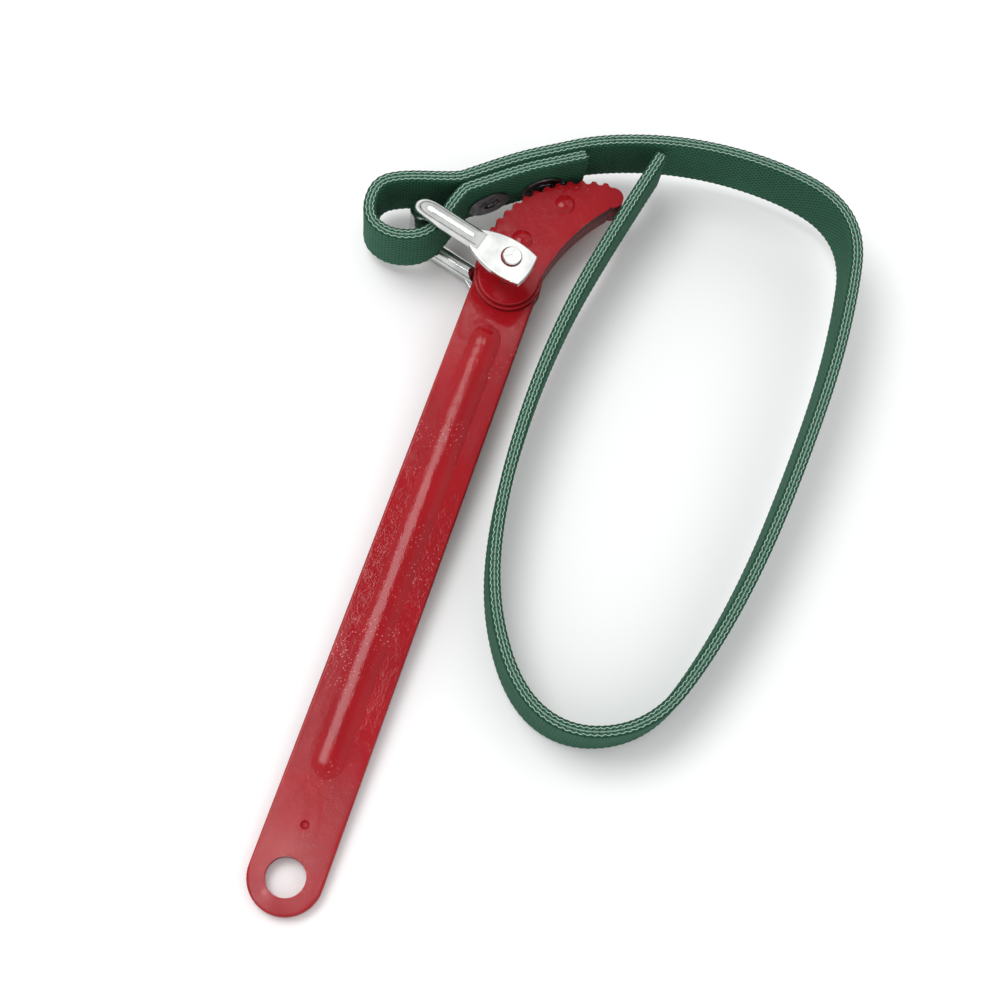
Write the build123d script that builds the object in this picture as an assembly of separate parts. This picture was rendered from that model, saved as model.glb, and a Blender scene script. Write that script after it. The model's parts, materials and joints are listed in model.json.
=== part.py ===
from build123d import *
import math
import os

# A belt-type oil filter wrench lying on a table. Everything is drawn in the tool's own plane first:
# origin on the pivot pin, +Y from the handle's tail to the jaw, +Z out of the handle's top face.
# place() then tips that plane onto its rest, with the tail and the bail's lower leg on the table.

# ---- driving dimensions, mm ----
handle_thick = 5.0
handle_half_head = 12.0      # half the bar's width under the jaw
handle_half_tail = 13.2      # half the bar's width at the tail, and the tail's end radius
tail_y = -230.0              # centre of the tail's round end and of the hang hole
hang_hole_r = 7.0
bar_edge_r = 0.8             # softened edge of the bar
rib_half = 5.7               # stamped rib on the top face
rib_high = 1.4
rib_top_y = -25.0
rib_tail_y = -189.0
dimple_y = -211.4
dimple_r = 1.65

plate_thick = 1.9            # each of the four jaw plates
tooth_circle = (28.7, 6.0)
tooth_circle_r = 42.06
tooth_pitch_deg = 6.23
tooth_first_deg = 95.9       # direction of the first notch, beside the jaw's tip
tooth_count = 15
notch_r = 1.5
notch_out = 0.3              # how far the notch's centre stands outside the tooth circle
tip_round = (26.2, 42.9)
tip_round_r = 4.0
tip_plain_r = 41.0           # the jaw's back has no teeth between the first notch and the tip
throat_circle = (82.8, -7.3)
throat_circle_r = 72.4
boss_r_outer = 11.4          # rounded lower end of the outer plates
boss_r_inner = 12.6          # and of the inner plates
plate_edge_r = 0.55

pin_r = 3.5
pin_hole_r = 3.56            # running fit on the pin
ear_hole_r = 3.9
ear_hole_shift = 0.38        # the pin bears on one side of the ear's larger hole
pin_above_ear = 0.7
jaw_rivets = [(10.3, 34.0), (0.0, 15.1)]
rivet_shank_r = 2.5
rivet_head_r = 3.8
rivet_head_high = 1.3

rod_r = 3.8                  # bail rod
leg_spacing = 34.0
lower_leg_z = -10.5
bail_angle = 166.0           # direction from the pin to the crossbar
bail_side = -1.5             # the bail's centre line passes this far beside the pin
crossbar_at = 38.2           # pin to crossbar along the bail
corner_r = 5.7               # bend of the rod's centre line
ear_thick = 3.0
ear_root = 15.5              # where the rod goes over into the flat ear
ear_end = 8.4
ear_half = 6.4

belt_thick = 4.4
belt_wide = 25.4
ply_gap = 0.2
rivet_low = 4.2              # the eyelets sit this far below the belt's middle
eyelet_r = 3.0
eyelet_bore_r = 1.9
washer_r = 8.0
washer_thick = 0.8
washer_cup = 0.2             # the washer's rim stands this far off the belt
first_rivet = 10.4           # along the first straight stretch of the riveted end
second_rivet = 8.3          # along the second
fold_end = 24.0              # where the folded end is cut off, along the second stretch

# Long ply of the riveted end, from its outer end back towards the eye.
ply_exit = (20.0, 59.1)
ply_bend_a = (12.5, 55.8)
ply_bend_b = (-10.5, 40.5)
ply_bend_c = (-29.0, 24.6)
# Round the crossbar, from the long ply to the folded ply.
eye_points = [(-49.5, 17.8), (-56.5, 11.5), (-55.0, -1.0), (-45.5, -5.2), (-34.2, -1.6), (-29.4, 6.2)]
# The loose belt, from the riveted end round the loop to the cut end beside the jaw.
loose_points = [
    (20.0, 59.1), (32.5, 64.6), (58.5, 70.4), (85.5, 70.8), (105.0, 66.5),
    (116.5, 54.5), (120.2, 34.0), (122.4, 4.0), (121.4, -34.0), (118.5, -74.0),
    (111.5, -112.0), (101.0, -141.5), (77.0, -154.5), (54.0, -148.0), (35.0, -121.5),
    (26.0, -90.0), (22.9, -50.0), (24.4, -12.0), (30.4, 25.0), (38.1, 59.9),
]

# The finished part's origin: the middle of its footprint without the loose belt.
origin_x = -14.031
origin_y = -90.829

# ---- worked out ----
half_thick = handle_thick / 2
jaw_half = half_thick + 2 * plate_thick
upper_leg_z = lower_leg_z + leg_spacing
belt_mid_z = lower_leg_z + leg_spacing / 2
floor_z = lower_leg_z - rod_r
tail_end_y = tail_y - handle_half_tail + bar_edge_r
leg_rest_y = 2.23
rest_drop = -half_thick - floor_z
tip_angle = math.degrees(math.atan(rest_drop / (leg_rest_y - tail_end_y)))


def place(shape):
    tipped = Rot(tip_angle, 0, 0) * shape
    lift = -(leg_rest_y * math.sin(math.radians(tip_angle)) + floor_z * math.cos(math.radians(tip_angle)))
    return Pos(-origin_x, -origin_y, lift) * tipped


def slab(sketch, low, high):
    return Pos(0, 0, low) * extrude(sketch, high - low)


def soften(solid, radius, top=True, bottom=True):
    faces = solid.faces().sort_by(Axis.Z)
    edges = []
    if top:
        edges += faces[-1].outer_wire().edges()
    if bottom:
        edges += faces[0].outer_wire().edges()
    return fillet(edges, radius)


# ---- jaw outline ----
def jaw_outline():
    tooth_disc = Pos(*tooth_circle) * Circle(tooth_circle_r)
    throat_disc = Pos(*throat_circle) * Circle(throat_circle_r)
    body = Pos(-20, -1) * Rectangle(46.4, 60, align=(Align.MIN, Align.MIN))
    crescent = (tooth_disc - throat_disc) & body
    first_x = tooth_circle[0] + tooth_circle_r * math.cos(math.radians(tooth_first_deg))
    past_teeth = Pos(first_x, 20) * Rectangle(30, 40, align=(Align.MIN, Align.MIN))
    crescent -= past_teeth - Pos(*tooth_circle) * Circle(tip_plain_r)
    tip_cut = Pos(tip_round[0], tip_round[1] - 1) * Rectangle(20, 20, align=(Align.MIN, Align.MIN))
    crescent = crescent - tip_cut + Pos(*tip_round) * Circle(tip_round_r)
    for i in range(tooth_count):
        a = math.radians(tooth_first_deg + i * tooth_pitch_deg)
        r = tooth_circle_r + notch_out
        crescent -= Pos(tooth_circle[0] + r * math.cos(a), tooth_circle[1] + r * math.sin(a)) * Circle(notch_r)
    return crescent


def jaw_holes(pin_hole):
    holes = Circle(pin_hole)
    for x, y in jaw_rivets:
        holes += Pos(x, y) * Circle(rivet_shank_r)
    return holes


# ---- handle bar ----
def rib(height):
    rise = (rib_half ** 2 + height ** 2) / (2 * height)
    length = rib_top_y - rib_tail_y
    crown = Pos(0, height - rise) * Circle(rise)
    bow = crown & Pos(0, 0) * Rectangle(2 * rib_half + 2, height + 1, align=(Align.CENTER, Align.MIN))
    bar = Pos(0, rib_top_y, 0) * Rot(90, 0, 0) * extrude(bow, length)
    half = bow & Rectangle(rib_half + 2, height + 1, align=(Align.MIN, Align.MIN))
    end = revolve(Rot(90, 0, 0) * half, Axis.Z)
    return bar + Pos(0, rib_top_y, 0) * end + Pos(0, rib_tail_y, 0) * end


def handle_bar():
    bar = make_face(Polyline(
        (-handle_half_head, 0), (handle_half_head, 0),
        (handle_half_tail, tail_y), (-handle_half_tail, tail_y), close=True))
    bar += Pos(0, tail_y) * Circle(handle_half_tail)
    outline = bar + Circle(handle_half_head) + jaw_outline()
    shank = slab(bar + Circle(handle_half_head), -half_thick, half_thick)
    shank = soften(shank, bar_edge_r)
    head = slab(jaw_outline(), -half_thick, half_thick)
    solid = shank + head
    solid -= slab(jaw_holes(pin_hole_r), -half_thick, half_thick)
    solid -= Pos(0, tail_y, -half_thick) * Cylinder(hang_hole_r, handle_thick, align=(Align.CENTER,) * 2 + (Align.MIN,))
    solid += Pos(0, 0, half_thick) * rib(rib_high)
    solid -= Pos(0, 0, -half_thick) * rib(rib_high)
    solid -= Pos(0, dimple_y, half_thick + 0.6) * Sphere(dimple_r)
    return solid


# ---- jaw plates, numbered from the handle outwards on each side ----
def jaw_plate(low, boss_r, top_side):
    boss = slab(Circle(boss_r), low, low + plate_thick)
    boss = soften(boss, plate_edge_r, top=top_side, bottom=not top_side)
    plate = slab(jaw_outline(), low, low + plate_thick) + boss
    return plate - slab(jaw_holes(pin_hole_r), low - 1, low + plate_thick + 1)


def jaw_rivet(x, y):
    shank = Pos(x, y, -jaw_half) * Cylinder(rivet_shank_r, 2 * jaw_half, align=(Align.CENTER,) * 2 + (Align.MIN,))
    ball = (rivet_head_r ** 2 + rivet_head_high ** 2) / (2 * rivet_head_high)
    dome = Pos(0, 0, rivet_head_high - ball) * Sphere(ball)
    dome &= Cylinder(rivet_head_r, rivet_head_high, align=(Align.CENTER,) * 2 + (Align.MIN,))
    head = Pos(x, y, jaw_half) * dome
    foot = Pos(x, y, -jaw_half) * Rot(180, 0, 0) * dome
    return shank + head + foot


# ---- bail: a rod bent to a U, its ends pressed flat into ears ----
def bail_frame(shape):
    return Rot(0, 0, bail_angle) * Pos(0, -bail_side, 0) * shape


def ear(z):
    side = ThreePointArc((ear_root, 3.5), (5.0, 7.1), (-ear_end + 0.9, ear_half))
    end = ThreePointArc((-ear_end + 0.9, ear_half), (-ear_end, 0), (-ear_end + 0.9, -ear_half))
    other = ThreePointArc((-ear_end + 0.9, -ear_half), (5.0, -7.1), (ear_root, -3.5))
    root = Line((ear_root, -3.5), (ear_root, 3.5))
    flat = slab(make_face(side + end + other + root), -ear_thick / 2, ear_thick / 2)
    flat = fillet(flat.faces().sort_by(Axis.Z)[-1].edges() + flat.faces().sort_by(Axis.Z)[0].edges(), 0.4)
    return Pos(0, 0, z) * flat


def bail():
    straight = crossbar_at - corner_r
    low, high = lower_leg_z, upper_leg_z
    line = FilletPolyline(
        (ear_root - 3.5, 0, low), (crossbar_at, 0, low), (crossbar_at, 0, high), (ear_root - 3.5, 0, high),
        radius=corner_r)
    rod = sweep(Plane(origin=(ear_root - 3.5, 0, low), z_dir=(1, 0, 0)) * Circle(rod_r), path=line)
    wedge = make_face(Polyline((-1, ear_thick / 2), (4.4, rod_r + 0.4), (-1, rod_r + 0.4), close=True))
    cut = Rot(90, 0, 0) * Pos(ear_root - 3.5, 0) * extrude(wedge, 5, both=True)
    for z in (low, high):
        rod -= Pos(0, 0, z) * cut
        rod -= Pos(0, 0, z) * mirror(cut, Plane.XY)
    shape = rod + ear(low) + ear(high)
    shape = bail_frame(shape)
    a = math.radians(233)
    hole_x, hole_y = ear_hole_shift * math.cos(a), ear_hole_shift * math.sin(a)
    return shape - Pos(hole_x, hole_y, belt_mid_z) * Cylinder(ear_hole_r, leg_spacing + 2 * ear_thick)


def pivot_pin():
    low = lower_leg_z - ear_thick / 2 - 0.4
    high = upper_leg_z + ear_thick / 2 + pin_above_ear
    shaft = Pos(0, 0, low) * Cylinder(pin_r, high - low, align=(Align.CENTER,) * 2 + (Align.MIN,))
    shaft = chamfer(shaft.edges().filter_by(GeomType.CIRCLE), 0.35)
    for k in range(3):
        lobe = Pos(1.3, 0, high) * Box(2.2, 0.9, 0.7)
        shaft -= Rot(0, 0, 90 + 120 * k) * lobe
    return shaft


# ---- belt ----
def unit(a, b):
    d = math.dist(a, b)
    return ((b[0] - a[0]) / d, (b[1] - a[1]) / d)


def beside(point, direction, offset):
    return (point[0] + direction[1] * offset, point[1] - direction[0] * offset)


def meet(p, d, q, e):
    det = d[0] * -e[1] + e[0] * d[1]
    t = ((q[0] - p[0]) * -e[1] + e[0] * (q[1] - p[1])) / det
    return (p[0] + t * d[0], p[1] + t * d[1])


def turns(points):
    found = []
    for a, b, c in zip(points, points[1:], points[2:]):
        found.append(Vector(b[0] - a[0], b[1] - a[1]).get_angle(Vector(c[0] - b[0], c[1] - b[1])))
    return found


def widest_radii(points):
    runs = [math.dist(a, b) for a, b in zip(points, points[1:])]
    return [0.45 * min(a, b) / math.tan(math.radians(t / 2)) for a, b, t in zip(runs, runs[1:], turns(points))]


def belt_strip(points, radii):
    line = FilletPolyline(*[(x, y, belt_mid_z) for x, y in points], radius=radii)
    start = unit(points[0], points[1])
    section = Plane(origin=(*points[0], belt_mid_z), x_dir=(start[1], -start[0], 0), z_dir=(*start, 0))
    return sweep(section * Rectangle(belt_thick, belt_wide), path=line), line.length


second_dir = unit(ply_bend_b, ply_bend_a)
first_dir = unit(ply_bend_c, ply_bend_b)
ply_step = belt_thick + ply_gap
fold_c = beside(ply_bend_c, first_dir, ply_step)
fold_b = meet(fold_c, first_dir, beside(ply_bend_b, second_dir, ply_step), second_dir)
fold_a = beside(ply_bend_b, second_dir, ply_step)
fold_a = (fold_a[0] + second_dir[0] * fold_end, fold_a[1] + second_dir[1] * fold_end)
eye_route = [ply_exit, ply_bend_a, ply_bend_b, ply_bend_c, *eye_points, fold_c, fold_b, fold_a]
bend_b_r = 60.0
eye_radii = widest_radii(eye_route)
eye_radii[1] = bend_b_r
eye_radii[2] = 12.0            # the washers beside these bends need the stretch straight
eye_radii[-2] = 9.0
eye_radii[-1] = bend_b_r - ply_step


def rivet_place(start, direction, along):
    """The rivet's frame: +Z points out of the folded ply, towards the jaw, and 0 is the long ply's middle."""
    x = start[0] + direction[0] * along
    y = start[1] + direction[1] * along
    return Plane(origin=(x, y, belt_mid_z - rivet_low), x_dir=(*direction, 0), z_dir=(direction[1], -direction[0], 0))


rivet_places = [
    rivet_place(ply_bend_c, first_dir, first_rivet),
    rivet_place(ply_bend_b, second_dir, second_rivet),
]
stack_out = -belt_thick / 2                 # the long ply's outer face
stack_in = ply_step + belt_thick / 2        # the folded ply's inner face, beside the jaw


def washer(plane, side):
    """A cupped washer: its bore lies on the belt and its rim stands off."""
    base = stack_in if side > 0 else stack_out
    cup = make_face(Polyline(
        (eyelet_r, 0), (eyelet_r, washer_thick), (eyelet_r + 1.6, washer_thick),
        (washer_r - 0.3, washer_thick + washer_cup),
        (washer_r, washer_cup + washer_thick - 0.3), (washer_r, washer_cup), (eyelet_r + 1.5, 0), close=True))
    ring = revolve(Rot(90, 0, 0) * cup, Axis.Z)
    if side < 0:
        ring = Rot(180, 0, 0) * ring
    return plane * (Pos(0, 0, base) * ring)


def eyelet(plane):
    low = stack_out - washer_thick
    high = stack_in + washer_thick
    wall = make_face(Polyline(
        (eyelet_bore_r, low - 0.7), (eyelet_r + 1.5, low - 0.7), (eyelet_r + 1.5, low), (eyelet_r, low),
        (eyelet_r, high), (eyelet_r + 1.1, high + 0.1), (eyelet_r + 0.8, high + 0.5), (eyelet_bore_r, high + 0.25),
        close=True))
    return plane * revolve(Rot(90, 0, 0) * wall, Axis.Z)


def belt_eye():
    strip = belt_strip(eye_route, eye_radii)[0]
    for plane in rivet_places:
        strip -= plane * Pos(0, 0, (stack_out + stack_in) / 2) * Cylinder(eyelet_r, 3 * belt_thick)
    return strip


loose_radii = widest_radii(loose_points)
loose_belt, loose_length = belt_strip(loose_points, loose_radii)
print("loose belt", round(loose_length, 1), "mm, turns", [round(t) for t in turns(loose_points)])
print("radii", [round(r) for r in loose_radii])
print("volume over section x length", round(loose_belt.volume / (loose_length * belt_thick * belt_wide), 4))
eye_length = belt_strip(eye_route, eye_radii)[1]
print("riveted end radii", [round(r, 1) for r in eye_radii])
print("riveted end", round(eye_length, 1), "mm; whole belt", round(eye_length + loose_length, 1), "mm")

nodes = {
    "handle_bar": handle_bar(),
    "jaw_plate_upper_inner": jaw_plate(half_thick, boss_r_inner, True),
    "jaw_plate_upper_outer": jaw_plate(half_thick + plate_thick, boss_r_outer, True),
    "jaw_plate_lower_inner": jaw_plate(-half_thick - plate_thick, boss_r_inner, False),
    "jaw_plate_lower_outer": jaw_plate(-jaw_half, boss_r_outer, False),
    "jaw_rivet_tip": jaw_rivet(*jaw_rivets[0]),
    "jaw_rivet_root": jaw_rivet(*jaw_rivets[1]),
    "bail": bail(),
    "pivot_pin": pivot_pin(),
    "belt_eye": belt_eye(),
    "belt_loose": loose_belt,
}
for name, plane in zip(("eye", "end"), rivet_places):
    nodes[f"eyelet_rivet_{name}"] = eyelet(plane)
    nodes[f"washer_{name}_jaw_side"] = washer(plane, 1)
    nodes[f"washer_{name}_outer_side"] = washer(plane, -1)

os.makedirs("parts", exist_ok=True)
for name, shape in nodes.items():
    export_step(place(shape), f"parts/{name}.step")

boxes = [place(shape).bounding_box() for name, shape in nodes.items() if name != "belt_loose"]
for axis in "XYZ":
    low = min(getattr(b.min, axis) for b in boxes)
    high = max(getattr(b.max, axis) for b in boxes)
    print(axis, round(low, 3), round(high, 3), "middle", round((low + high) / 2, 3))
print("tip angle", round(tip_angle, 3), "loose belt lowest", round(place(loose_belt).bounding_box().min.Z, 3))
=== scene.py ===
import json
import math

import bmesh
import bpy
from mathutils import Matrix, Vector


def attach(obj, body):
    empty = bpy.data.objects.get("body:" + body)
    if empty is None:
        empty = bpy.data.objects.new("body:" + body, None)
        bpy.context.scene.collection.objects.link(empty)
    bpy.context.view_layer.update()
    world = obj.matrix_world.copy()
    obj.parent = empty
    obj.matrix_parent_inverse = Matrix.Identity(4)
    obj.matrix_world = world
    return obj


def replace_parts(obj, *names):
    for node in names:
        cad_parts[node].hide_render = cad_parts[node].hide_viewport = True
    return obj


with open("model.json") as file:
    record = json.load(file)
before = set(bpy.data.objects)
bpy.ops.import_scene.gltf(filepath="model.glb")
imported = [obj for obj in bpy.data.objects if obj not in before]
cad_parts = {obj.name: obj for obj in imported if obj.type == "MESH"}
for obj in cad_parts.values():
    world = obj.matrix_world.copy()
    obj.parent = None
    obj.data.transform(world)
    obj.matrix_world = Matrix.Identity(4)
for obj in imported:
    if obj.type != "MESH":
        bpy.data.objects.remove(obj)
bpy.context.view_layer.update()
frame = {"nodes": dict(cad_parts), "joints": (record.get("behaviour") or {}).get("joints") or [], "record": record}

MM = 0.001

# The tool's own plane: origin on the pivot pin at the handle's mid-thickness, +Y to the jaw, +Z out of
# the top face, in millimetres. It lies tipped on the table, as the hinge's axis says.
hinge = next(j for j in frame["joints"] if j["name"] == "bail_swing")
UP = Vector(hinge["axis"]).normalized()
SIDE = Vector((1, 0, 0))
ALONG = UP.cross(SIDE)
BELT_MID = 6.5                      # the belt's middle above the handle's, mm
ORIGIN = Vector(hinge["pos_m"]) - UP * BELT_MID * MM


def at(x, y, n=0.0):
    return ORIGIN + (SIDE * x + ALONG * y + UP * n) * MM


# ---- camera ----
eye = Vector((0.05733, -0.21427, 0.6901))
target = Vector((0.03853, 0.01453, 0.0))
forward = (target - eye).normalized()
right = forward.cross(Vector((0, 0, 1))).normalized()
above = right.cross(forward)
roll = math.radians(15.0)
cam_x = right * math.cos(roll) + above * math.sin(roll)
cam_y = above * math.cos(roll) - right * math.sin(roll)
camera_data = bpy.data.cameras.new("camera")
camera_data.lens = 72.0
camera_data.sensor_width = 36.0
camera_data.clip_start = 0.01
camera_data.clip_end = 20.0
camera = bpy.data.objects.new("camera", camera_data)
camera.matrix_world = Matrix((
    (cam_x.x, cam_y.x, -forward.x, eye.x),
    (cam_x.y, cam_y.y, -forward.y, eye.y),
    (cam_x.z, cam_y.z, -forward.z, eye.z),
    (0, 0, 0, 1)))
bpy.context.scene.collection.objects.link(camera)
bpy.context.scene.camera = camera

# ---- belt: line, cord and woven surface ----
BELT_WIDE = 25.4
BELT_THICK = 4.4
WEAVE = 2.35                        # one wave of the edge yarns, mm
ROW = 1.15                          # one row of the face's weave, mm
CORNER = 0.75                       # rounding of the section's corners, mm
RIPPLE = 0.14                       # how far the edge yarns wave out of the belt's faces, mm
RIPPLE_FROM = 0.86                  # share of the half width beyond which they do
EDGE_DEPTH = 0.35                   # outermost strip that has the edge's own weave, mm
LOOSE_ROUTE = [
    (20.0, 59.1), (32.5, 64.6), (58.5, 70.4), (85.5, 70.8), (105.0, 66.5),
    (116.5, 54.5), (120.2, 34.0), (122.4, 4.0), (121.4, -34.0), (118.5, -74.0),
    (111.5, -112.0), (101.0, -141.5), (77.0, -154.5), (54.0, -148.0), (35.0, -121.5),
    (26.0, -90.0), (22.9, -50.0), (24.4, -12.0), (30.4, 25.0), (38.1, 59.9),
]
EYE_ROUTE = [
    (20.0, 59.1), (12.5, 55.8), (1.0, 48.15), (-10.5, 40.5), (-25.4, 27.7), (-29.0, 24.6),
    (-49.5, 17.8), (-56.5, 11.5), (-55.0, -1.0), (-45.5, -5.2), (-34.2, -1.6), (-29.4, 6.2),
    (-26.0, 21.1), (-22.4, 24.2), (-7.7, 36.8), (1.5, 43.0), (12.0, 50.0),
]


def nurbs_line(name, route, resolution):
    """The smooth line that a NURBS spline with these control points follows, as a list of points."""
    data = bpy.data.curves.new(name, "CURVE")
    data.dimensions = "3D"
    spline = data.splines.new("NURBS")
    spline.points.add(len(route) - 1)
    for point, (x, y) in zip(spline.points, route):
        point.co = (*at(x, y, BELT_MID), 1.0)
    spline.order_u = 3
    spline.use_endpoint_u = True
    spline.resolution_u = resolution
    holder = bpy.data.objects.new(name, data)
    bpy.context.scene.collection.objects.link(holder)
    bpy.context.view_layer.update()
    mesh = bpy.data.meshes.new_from_object(holder.evaluated_get(bpy.context.evaluated_depsgraph_get()))
    line = [v.co.copy() for v in mesh.vertices]
    bpy.data.meshes.remove(mesh)
    bpy.data.objects.remove(holder)
    bpy.data.curves.remove(data)
    return line


def link(name, mesh):
    obj = bpy.data.objects.new(name, mesh)
    bpy.context.scene.collection.objects.link(obj)
    return obj


def section_points():
    """The belt's section, once round, as (t, w): t through the belt and w across it, mm."""
    half_t, half_w, r = BELT_THICK / 2, BELT_WIDE / 2, CORNER
    points = []
    for st, sw in ((1, -1), (1, 1), (-1, 1), (-1, -1)):
        arc = [math.radians(a) for a in (0, 30, 60, 90)]
        if st * sw < 0:
            arc.reverse()
        corner = [(st * (half_t - r + r * math.cos(a)), sw * (half_w - r + r * math.sin(a))) for a in arc]
        points += corner
        if st * sw < 0:
            last, step = corner[-1], st * (BELT_WIDE - 2 * r) / 8
            points += [(last[0], last[1] + step * k) for k in range(1, 8)]
        else:
            last, step = corner[-1], -st * (BELT_THICK - 2 * r) / 4
            points += [(last[0] + step * k, last[1]) for k in range(1, 4)]
    return points


def band(name, line, backwards=False):
    """The woven belt along a line. UV in metres: u along the belt, v across the face or through the edge."""
    section = section_points()
    half_t, half_w = BELT_THICK / 2, BELT_WIDE / 2
    bm = bmesh.new()
    uv = bm.loops.layers.uv.new("belt")
    rings, along = [], [0.0]
    for a, b in zip(line, line[1:]):
        along.append(along[-1] + (b - a).length)
    for i, p in enumerate(line):
        a, b = line[max(i - 1, 0)], line[min(i + 1, len(line) - 1)]
        out = (b - a).normalized().cross(UP)
        if backwards:
            out = -out
        turn = 2 * math.pi * along[i] / (WEAVE * MM) * (-1 if backwards else 1)
        ring = []
        for t, w in section:
            outer = max(0.0, abs(w) / half_w - RIPPLE_FROM) / (1 - RIPPLE_FROM)
            wave = RIPPLE * math.cos(turn + (0 if t > 0 else math.pi)) * outer * t / half_t
            ring.append(bm.verts.new(p + (out * (t + wave) + UP * w) * MM))
        rings.append(ring)
    n = len(section)
    for i in range(len(rings) - 1):
        for k in range(n):
            k2 = (k + 1) % n
            quad = [rings[i][k], rings[i][k2], rings[i + 1][k2], rings[i + 1][k]]
            corners = [(i, k), (i, k2), (i + 1, k2), (i + 1, k)]
            if not backwards:
                quad.reverse()
                corners.reverse()
            face = bm.faces.new(quad)
            face.smooth = True
            on_edge = abs(section[k][1] + section[k2][1]) / 2 > half_w - EDGE_DEPTH
            face.material_index = 1 if on_edge else 0
            for loop, (ii, kk) in zip(face.loops, corners):
                u = along[ii] * (-1 if backwards else 1)
                loop[uv].uv = (u, section[kk][0] * MM if on_edge else section[kk][1] * MM)
    for ring in (rings[0], rings[-1]):
        cap = bm.faces.new(ring)
        cap.material_index = 2
        for loop, (t, w) in zip(cap.loops, section):
            loop[uv].uv = (t * MM, w * MM)
    bmesh.ops.recalc_face_normals(bm, faces=bm.faces[:])
    mesh = bpy.data.meshes.new(name)
    bm.to_mesh(mesh)
    bm.free()
    return link(name, mesh)


def thrums(name, end, inward, seed, count):
    """Short pale yarn ends that stick out of a cut end."""
    side = inward.cross(UP)
    bm = bmesh.new()
    for i in range(count):
        a = math.sin(seed + i * 12.9898) * 43758.5453 % 1.0
        b = math.sin(seed + i * 78.233) * 24634.6345 % 1.0
        c = math.sin(seed + i * 37.719) * 11369.123 % 1.0
        root = end + (side * (a - 0.5) * 3.6 + UP * (b - 0.5) * 24.4) * MM + inward * 0.0004
        tip = root + (-inward * (0.5 + 0.9 * c) + side * (c - 0.5) * 0.9 + UP * (a - 0.5) * 0.9) * MM
        direction = (tip - root).normalized()
        u = direction.orthogonal().normalized()
        v = direction.cross(u)
        rings = []
        for point, r in ((root, 0.13), ((root + tip) / 2 + u * 0.0001, 0.11), (tip, 0.06)):
            rings.append([bm.verts.new(point + (u * math.cos(q) + v * math.sin(q)) * r * MM)
                          for q in (0, 1.57, 3.14, 4.71)])
        for low, high in zip(rings, rings[1:]):
            for k in range(4):
                bm.faces.new((low[k], low[(k + 1) % 4], high[(k + 1) % 4], high[k]))
        bm.faces.new(rings[-1])
    mesh = bpy.data.meshes.new(name)
    bm.to_mesh(mesh)
    bm.free()
    return link(name, mesh)


loose_line = nurbs_line("loose_route", LOOSE_ROUTE, 56)
eye_line = nurbs_line("eye_route", EYE_ROUTE, 26)
loose = band("belt_free_part", loose_line)
eye_band = band("belt_riveted_end", eye_line, backwards=True)
YARN_ENDS = 70
free_fray = thrums("free_end_yarns", loose_line[-1], (loose_line[-3] - loose_line[-1]).normalized(), 3.0, YARN_ENDS)
fold_fray = thrums("folded_end_yarns", eye_line[-1], (eye_line[-3] - eye_line[-1]).normalized(), 8.0, YARN_ENDS)
for piece in (loose, eye_band, free_fray, fold_fray):
    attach(piece, "belt")
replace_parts(loose, "belt_loose")
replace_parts(eye_band, "belt_eye")


# ---- material nodes ----
class Nodes:
    def __init__(self, name):
        self.material = bpy.data.materials.new(name)
        self.material.use_nodes = True
        self.tree = self.material.node_tree
        self.shader = self.tree.nodes["Principled BSDF"]

    def add(self, kind, **values):
        node = self.tree.nodes.new(kind)
        for key, value in values.items():
            setattr(node, key, value)
        return node

    def plug(self, value, socket):
        if isinstance(value, bpy.types.NodeSocket):
            self.tree.links.new(value, socket)
        elif value is not None:
            socket.default_value = value

    def math(self, operation, a, b=None, clamp=False):
        node = self.add("ShaderNodeMath", operation=operation, use_clamp=clamp)
        for value, socket in zip((a, b), node.inputs):
            self.plug(value, socket)
        return node.outputs[0]

    def vector(self, operation, a, b=None):
        node = self.add("ShaderNodeVectorMath", operation=operation)
        self.plug(a, node.inputs[0])
        self.plug(b, node.inputs[1])
        return node.outputs["Value"] if operation == "DOT_PRODUCT" else node.outputs[0]

    def between(self, value, low, high, out_low=0.0, out_high=1.0):
        node = self.add("ShaderNodeMapRange", interpolation_type="SMOOTHSTEP")
        self.plug(value, node.inputs["Value"])
        for key, number in (("From Min", low), ("From Max", high), ("To Min", out_low), ("To Max", out_high)):
            node.inputs[key].default_value = number
        return node.outputs["Result"]

    def mix(self, factor, a, b):
        node = self.add("ShaderNodeMix", data_type="RGBA")
        self.plug(factor, node.inputs["Factor"])
        for value, index in ((a, 6), (b, 7)):
            self.plug((*value, 1.0) if isinstance(value, tuple) else value, node.inputs[index])
        return node.outputs[2]

    def noise(self, scale, detail=2.0, vector=None, rough=0.5):
        node = self.add("ShaderNodeTexNoise")
        self.plug(vector if vector is not None else self.coords(), node.inputs["Vector"])
        node.inputs["Scale"].default_value = scale
        node.inputs["Detail"].default_value = detail
        node.inputs["Roughness"].default_value = rough
        return node

    def coords(self):
        return self.add("ShaderNodeTexCoord").outputs["Object"]

    def facing_up(self):
        """How squarely a face lies across the tool's own Z: 1 on the flat faces, 0 on the sides."""
        normal = self.add("ShaderNodeNewGeometry").outputs["True Normal"]
        return self.math("ABSOLUTE", self.vector("DOT_PRODUCT", normal, tuple(UP)))

    def bump(self, height, distance):
        node = self.add("ShaderNodeBump")
        node.inputs["Strength"].default_value = 1.0
        node.inputs["Distance"].default_value = distance
        self.plug(height, node.inputs["Height"])
        return node.outputs["Normal"]

    def set(self, **values):
        for key, value in values.items():
            value = (*value, 1.0) if isinstance(value, tuple) else value
            self.plug(value, self.shader.inputs[key.replace("_", " ")])
        return self.material


HANDLE_HALF = 2.5                   # half the handle's thickness, mm
PLATE = 1.9                         # one jaw plate, mm


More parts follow.
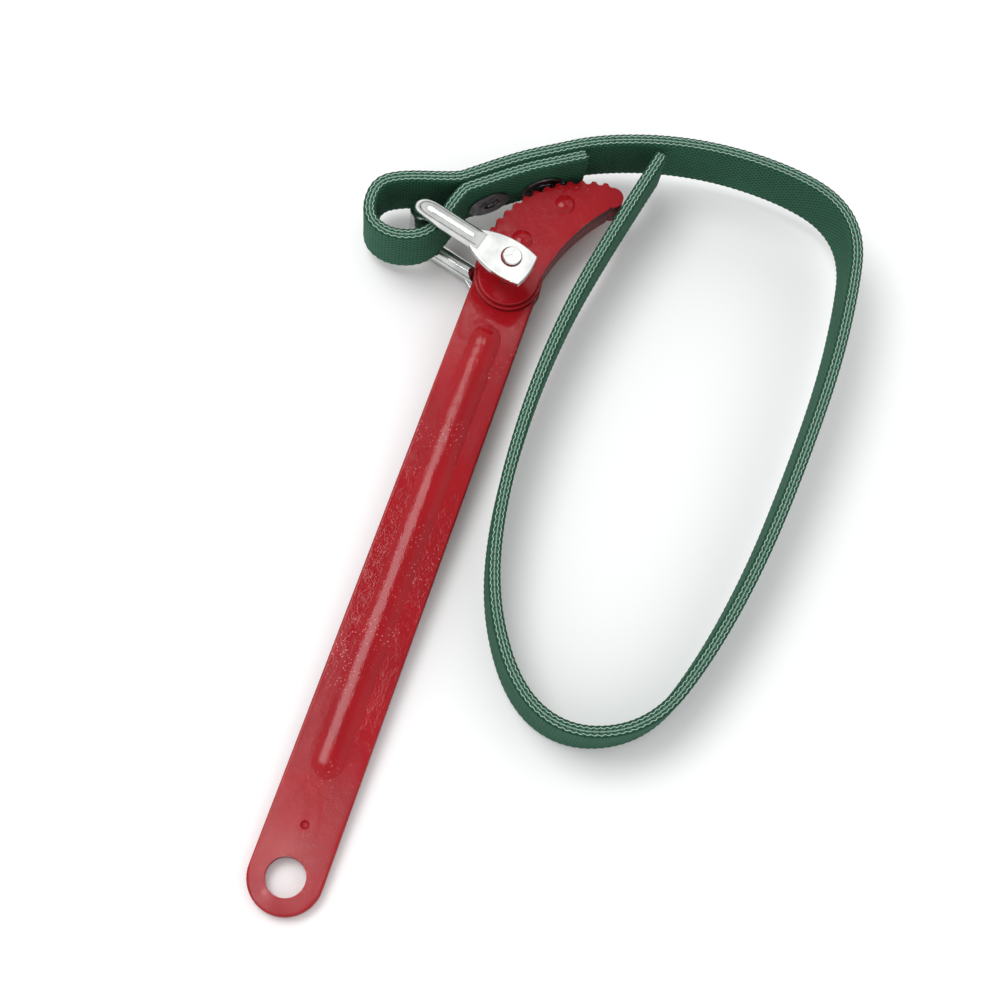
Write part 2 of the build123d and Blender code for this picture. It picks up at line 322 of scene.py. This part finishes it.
def paint():
    """Gloss red with an uneven surface, painted glints as pale specks in patches, and painted shade at the seams
    between the jaw's plates.
    """
    m = Nodes("red_gloss_paint")
    where = m.coords()
    height = m.math("SUBTRACT", m.vector("DOT_PRODUCT", where, tuple(UP)), ORIGIN.dot(UP))
    on_side = m.between(m.facing_up(), 0.3, 0.6, 1.0, 0.0)
    level = m.math("ABSOLUTE", height)
    first = m.math("ABSOLUTE", m.math("SUBTRACT", level, HANDLE_HALF * MM))
    second = m.math("ABSOLUTE", m.math("SUBTRACT", level, (HANDLE_HALF + PLATE) * MM))
    nearest = m.math("MINIMUM", first, second)
    # Painted shade: a dark band along the seams between the handle and the jaw's plates, on the side faces only.
    seam_shade = m.math("MULTIPLY", m.between(nearest, 0.00028, 0.0008, 1.0, 0.0), on_side)
    cloud = m.between(m.noise(45.0, 3.0).outputs["Fac"], 0.3, 0.7)
    colour = m.mix(cloud, (0.35, 0.007, 0.012), (0.29, 0.005, 0.010))
    # Pale pinkish-white specks in noise patches: painted glints, colour standing in for the sparkle of lamp
    # reflections in the gloss.
    glint_cells = m.add("ShaderNodeTexVoronoi")
    m.plug(where, glint_cells.inputs["Vector"])
    glint_cells.inputs["Scale"].default_value = 900.0
    glint_patch = m.between(m.noise(55.0, 2.0).outputs["Fac"], 0.52, 0.72)
    dot = m.between(glint_cells.outputs["Distance"], 0.12, 0.26, 1.0, 0.0)
    dot = m.math("MULTIPLY", dot, m.math("MULTIPLY", glint_patch, 0.5))
    colour = m.mix(dot, colour, (0.85, 0.45, 0.48))
    # The seams darkened to near black: painted shade.
    colour = m.mix(m.math("MULTIPLY", seam_shade, 0.88), colour, (0.03, 0.001, 0.002))
    peel = m.noise(1500.0, 1.0)
    wide = m.noise(260.0, 1.0)
    strong = m.between(m.noise(38.0, 1.0).outputs["Fac"], 0.35, 0.62, 0.45, 1.0)
    fine = m.math("MULTIPLY", m.math("MULTIPLY", peel.outputs["Fac"], strong), 0.55)
    height_map = m.math("ADD", fine, m.math("MULTIPLY", wide.outputs["Fac"], 0.9))
    normal = m.bump(height_map, 0.00012)
    rough = m.math("ADD", m.math("MULTIPLY", on_side, 0.4), 0.07)
    m.set(Base_Color=colour, Roughness=rough, Normal=normal, Specular_IOR_Level=0.25)
    return m.material


def zinc():
    m = Nodes("bright_zinc")
    cloud = m.noise(420.0, 4.0, rough=0.65).outputs["Fac"]
    blotch = m.noise(110.0, 3.0).outputs["Fac"]
    colour = m.mix(m.between(blotch, 0.35, 0.7), (0.70, 0.71, 0.69), (0.48, 0.50, 0.49))
    rough = m.math("ADD", m.between(cloud, 0.3, 0.7, 0.10, 0.2), m.between(m.facing_up(), 0.985, 0.999, 0.0, 0.22))
    m.set(Base_Color=colour, Metallic=1.0, Roughness=rough, Normal=m.bump(cloud, 0.00004))
    return m.material


def dark_steel():
    m = Nodes("dark_plated_steel")
    cloud = m.noise(500.0, 3.0).outputs["Fac"]
    colour = m.mix(m.between(cloud, 0.35, 0.7), (0.17, 0.17, 0.18), (0.10, 0.10, 0.11))
    m.set(Base_Color=colour, Metallic=1.0, Roughness=m.between(cloud, 0.3, 0.7, 0.26, 0.36),
          Normal=m.bump(cloud, 0.00001))
    return m.material


def belt_uv(m):
    node = m.add("ShaderNodeUVMap", uv_map="belt")
    parts = m.add("ShaderNodeSeparateXYZ")
    m.plug(node.outputs["UV"], parts.inputs[0])
    return parts.outputs["X"], parts.outputs["Y"]


def webbing_face():
    """Brick-like weave: short raised floats in rows along the belt, each row half a float on from the last, with
    painted shade in the gaps between floats and a painted sheen on their tops.
    """
    m = Nodes("webbing_face")
    u, v = belt_uv(m)
    row = m.math("DIVIDE", v, ROW * MM)
    odd = m.math("MODULO", m.math("ABSOLUTE", m.math("FLOOR", row)), 2.0)
    float_at = m.math("ADD", m.math("DIVIDE", u, WEAVE * MM), m.math("MULTIPLY", odd, 0.5))
    cell_u = m.math("SUBTRACT", m.math("FRACT", float_at), 0.5)
    cell_v = m.math("SUBTRACT", m.math("FRACT", row), 0.5)
    reach_u = m.math("POWER", m.math("MULTIPLY", cell_u, 2.0), 2.0)
    reach = m.math("ADD", reach_u, m.math("POWER", m.math("MULTIPLY", cell_v, 1.85), 2.0))
    dome = m.math("SQRT", m.math("SUBTRACT", 1.0, reach, clamp=True))
    flat_uv = m.add("ShaderNodeUVMap", uv_map="belt").outputs["UV"]
    fibre = m.noise(1.0, 2.0, vector=m.vector("MULTIPLY", flat_uv, (1500.0, 9000.0, 0.0)))
    shade = m.noise(60.0, 2.0).outputs["Fac"]
    top = m.mix(m.between(shade, 0.3, 0.7), (0.022, 0.125, 0.068), (0.017, 0.10, 0.054))
    # Painted sheen: the tops of the floats lighter along the fibres.
    painted_sheen = m.math("MULTIPLY", fibre.outputs["Fac"], m.math("MULTIPLY", dome, 0.55))
    lit = m.mix(painted_sheen, top, (0.06, 0.24, 0.14))
    # Painted shade: near-black colour in the gaps between floats, the lit colour on their tops.
    colour = m.mix(m.between(dome, 0.15, 0.75), (0.005, 0.032, 0.018), lit)
    height = m.math("ADD", dome, m.math("MULTIPLY", fibre.outputs["Fac"], 0.18))
    m.set(Base_Color=colour, Roughness=0.8, Normal=m.bump(height, 0.00034), Specular_IOR_Level=0.22)
    return m.material


def webbing_edge():
    """The belt's edge: three pale wavy yarns, the middle one doubled, between green ones."""
    m = Nodes("webbing_edge")
    u, t = belt_uv(m)
    turn = m.math("MULTIPLY", u, 2 * math.pi / (WEAVE * MM))
    jitter = m.math("MULTIPLY", m.math("SUBTRACT", m.noise(700.0, 1.0).outputs["Fac"], 0.5), 0.00022)
    third = m.math("SINE", m.math("MULTIPLY", turn, 3.0))
    wave = m.math("ADD", m.math("SINE", turn), m.math("MULTIPLY", third, -0.11))
    lines = []
    yarns = ((-0.0012, 0.00019, 0.00012), (0.0012, -0.00019, 0.00012),
             (0.0, 0.00017, 0.00009), (0.0, -0.00017, 0.00009))
    for centre, reach, width in yarns:
        middle = m.math("ADD", m.math("MULTIPLY", wave, reach), centre)
        away = m.math("ABSOLUTE", m.math("SUBTRACT", m.math("ADD", t, jitter), middle))
        lines.append(m.between(away, width * 0.45, width * 1.3, 1.0, 0.0))
    outer = m.math("MAXIMUM", lines[0], lines[1])
    inner = m.math("MULTIPLY", m.math("MAXIMUM", lines[2], lines[3]), 0.72)
    pale = m.math("MAXIMUM", outer, inner)
    lens = m.math("ABSOLUTE", m.math("SINE", m.math("MULTIPLY", turn, 0.5)))
    rim = m.between(m.math("ABSOLUTE", t), 0.00145, 0.00175)
    ground = m.mix(m.between(lens, 0.3, 0.9), (0.009, 0.050, 0.028), (0.026, 0.105, 0.064))
    ground = m.mix(m.math("MULTIPLY", rim, 0.85), ground, (0.006, 0.040, 0.021))
    fibre = m.noise(2600.0, 2.0).outputs["Fac"]
    ground = m.mix(m.math("MULTIPLY", fibre, 0.25), ground, (0.012, 0.06, 0.036))
    white = m.mix(m.between(fibre, 0.35, 0.65), (0.62, 0.76, 0.66), (0.42, 0.60, 0.50))
    colour = m.mix(pale, ground, white)
    ribs = m.math("ADD", m.math("MULTIPLY", lens, 0.4), m.math("MULTIPLY", fibre, 0.3))
    height = m.math("ADD", m.math("MULTIPLY", pale, 0.8), ribs)
    m.set(Base_Color=colour, Roughness=0.75, Normal=m.bump(height, 0.00016), Specular_IOR_Level=0.25)
    return m.material


def webbing_cut():
    m = Nodes("webbing_cut_end")
    u, v = belt_uv(m)
    stripe = m.math("ABSOLUTE", m.math("SINE", m.math("MULTIPLY", v, math.pi / (ROW * MM))))
    fibre = m.noise(2200.0, 2.0).outputs["Fac"]
    colour = m.mix(m.between(m.math("MULTIPLY", stripe, fibre), 0.22, 0.5), (0.03, 0.14, 0.08), (0.45, 0.56, 0.48))
    m.set(Base_Color=colour, Roughness=0.85, Normal=m.bump(fibre, 0.0003))
    return m.material


def yarn():
    m = Nodes("pale_yarn")
    fibre = m.noise(3000.0, 2.0).outputs["Fac"]
    colour = m.mix(fibre, (0.70, 0.78, 0.72), (0.25, 0.45, 0.34))
    m.set(Base_Color=colour, Roughness=0.7, Normal=m.bump(fibre, 0.00003))
    return m.material


RED, ZINC, STEEL = paint(), zinc(), dark_steel()
FACE, EDGE, CUT, YARN = webbing_face(), webbing_edge(), webbing_cut(), yarn()
for piece in (loose, eye_band):
    for material in (FACE, EDGE, CUT):
        piece.data.materials.append(material)
for piece in (free_fray, fold_fray):
    piece.data.materials.append(YARN)
looks = {"red_paint": RED, "zinc_plate": ZINC, "washer_steel": STEEL, "green_webbing": FACE}
for entry in frame["record"]["subparts"]:
    node = frame["nodes"][entry["node"]]
    node.data.materials.clear()
    node.data.materials.append(looks[entry["material_slot"]])

# ---- clinched eyelets ----
RIVETS = (("eye", (-29.0, 24.6), (0.7584, 0.6518), 10.4), ("end", (-10.5, 40.5), (0.8326, 0.5539), 8.3))
RIVET_N = 2.3                       # height of both rivets above the handle's middle, mm
PLY_GAP = 0.2                       # between the belt's two plies, mm
WASHER = 0.8                        # thickness of a washer, mm
ROUND = 72                          # points round an eyelet
# (radius, height) from the outer washer's inner edge to the bore, mm
FAR_PROFILE = ((3.0, 2.3), (4.4, 3.0), (4.5, 3.25), (4.1, 3.62), (2.4, 3.68), (1.95, 3.4), (1.75, 2.4))


def eyelet(name, start, direction, along):
    """A hollow rivet whose end is split into petals and rolled over the washer. The webbing shows in its bore."""
    x, y = start[0] + direction[0] * along, start[1] + direction[1] * along
    run = SIDE * direction[0] + ALONG * direction[1]
    out = SIDE * direction[1] - ALONG * direction[0]
    base = at(x, y, RIVET_N)
    bm = bmesh.new()
    face = BELT_THICK / 2 + PLY_GAP + BELT_THICK + WASHER
    rings, far = [], []
    for i in range(ROUND):
        a = 2 * math.pi * i / ROUND
        petal = abs(math.cos(3 * a + 0.4))
        profile = (
            (1.75, -1.6), (1.9 - 0.35 * petal, -0.2), (2.2, 0.30), (2.9, 0.42), (3.3 + 0.45 * petal, 0.30),
            (3.5 + 0.75 * petal ** 0.7, 0.04), (3.2, 0.0), (3.0, -0.6))
        rings.append([bm.verts.new(base + (run * math.cos(a) * r + UP * math.sin(a) * r + out * (face + z)) * MM)
                      for r, z in profile])
    for i in range(ROUND):
        j = (i + 1) % ROUND
        for k in range(len(rings[0]) - 1):
            bm.faces.new((rings[i][k], rings[j][k], rings[j][k + 1], rings[i][k + 1])).smooth = True
    centre = bm.verts.new(base + out * (face - 1.2) * MM)
    for i in range(ROUND):
        j = (i + 1) % ROUND
        bm.faces.new((centre, rings[j][0], rings[i][0])).material_index = 1
    for i in range(ROUND):
        a = 2 * math.pi * i / ROUND
        far.append([bm.verts.new(base + (run * math.cos(a) * r + UP * math.sin(a) * r - out * z) * MM)
                    for r, z in FAR_PROFILE])
    for i in range(ROUND):
        j = (i + 1) % ROUND
        for k in range(len(FAR_PROFILE) - 1):
            bm.faces.new((far[i][k], far[j][k], far[j][k + 1], far[i][k + 1])).smooth = True
    back = bm.verts.new(base - out * 2.6 * MM)
    for i in range(ROUND):
        bm.faces.new((back, far[(i + 1) % ROUND][-1], far[i][-1])).material_index = 1
    bmesh.ops.recalc_face_normals(bm, faces=bm.faces[:])
    mesh = bpy.data.meshes.new(name)
    bm.to_mesh(mesh)
    bm.free()
    piece = link(name, mesh)
    piece.data.materials.append(STEEL)
    piece.data.materials.append(CLOTH)
    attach(piece, "belt")
    return piece


def cloth():
    m = Nodes("webbing_in_eyelet")
    fibre = m.noise(1800.0, 3.0).outputs["Fac"]
    colour = m.mix(fibre, (0.01, 0.06, 0.035), (0.08, 0.30, 0.18))
    m.set(Base_Color=colour, Roughness=0.7, Normal=m.bump(fibre, 0.0004))
    return m.material


CLOTH = cloth()
for name, start, direction, along in RIVETS:
    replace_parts(eyelet("clinched_eyelet_" + name, start, direction, along), "eyelet_rivet_" + name)

# ---- floor and light ----
bm = bmesh.new()
bmesh.ops.create_grid(bm, x_segments=1, y_segments=1, size=4.0)
floor_mesh = bpy.data.meshes.new("floor")
bm.to_mesh(floor_mesh)
bm.free()
floor = link("floor", floor_mesh)
ground = Nodes("pale_floor")
floor.data.materials.append(ground.set(Base_Color=(0.93, 0.93, 0.935), Roughness=1.0, Specular_IOR_Level=0.0))

world = bpy.data.worlds.new("studio")
world.use_nodes = True
tree = world.node_tree
sky = tree.nodes["Background"]
coordinate = tree.nodes.new("ShaderNodeTexCoord")
split = tree.nodes.new("ShaderNodeSeparateXYZ")
ramp = tree.nodes.new("ShaderNodeValToRGB")
tree.links.new(coordinate.outputs["Generated"], split.inputs[0])
tree.links.new(split.outputs["Z"], ramp.inputs["Fac"])
tree.links.new(ramp.outputs["Color"], sky.inputs["Color"])
stops = ((0.0, 0.8), (0.14, 0.8), (0.17, 0.03), (0.25, 0.03), (0.29, 1.0), (0.86, 1.0), (0.95, 0.5), (1.0, 0.42))
for position, grey in stops[1:-1]:
    ramp.color_ramp.elements.new(position)
for element, (position, grey) in zip(ramp.color_ramp.elements, stops):
    element.position = position
    element.color = (grey, grey, grey, 1)
sky.inputs["Strength"].default_value = 0.97
bpy.context.scene.world = world


def lamp(name, place, aim, size, watts):
    data = bpy.data.lights.new(name, "AREA")
    data.shape = "DISK"
    data.size = size
    data.energy = watts
    obj = bpy.data.objects.new(name, data)
    obj.location = place
    obj.rotation_euler = (Vector(aim) - Vector(place)).to_track_quat("-Z", "Y").to_euler()
    bpy.context.scene.collection.objects.link(obj)


lamp("key", (-0.55, 0.15, 1.4), (0.03, 0.0, 0.0), 0.8, 10.0)
lamp("spark_tail", (-0.107, -0.127, 1.5), (0.0, -0.14, 0.0), 0.014, 0.3)
lamp("spark_rib", (-0.068, -0.055, 1.5), (0.0, -0.11, 0.0), 0.012, 0.1)
lamp("spark_boss", (-0.076, 0.554, 1.5), (0.014, 0.08, 0.0), 0.04, 0.2)

bpy.context.scene.view_settings.view_transform = "Standard"
bpy.context.scene.view_settings.look = "None"
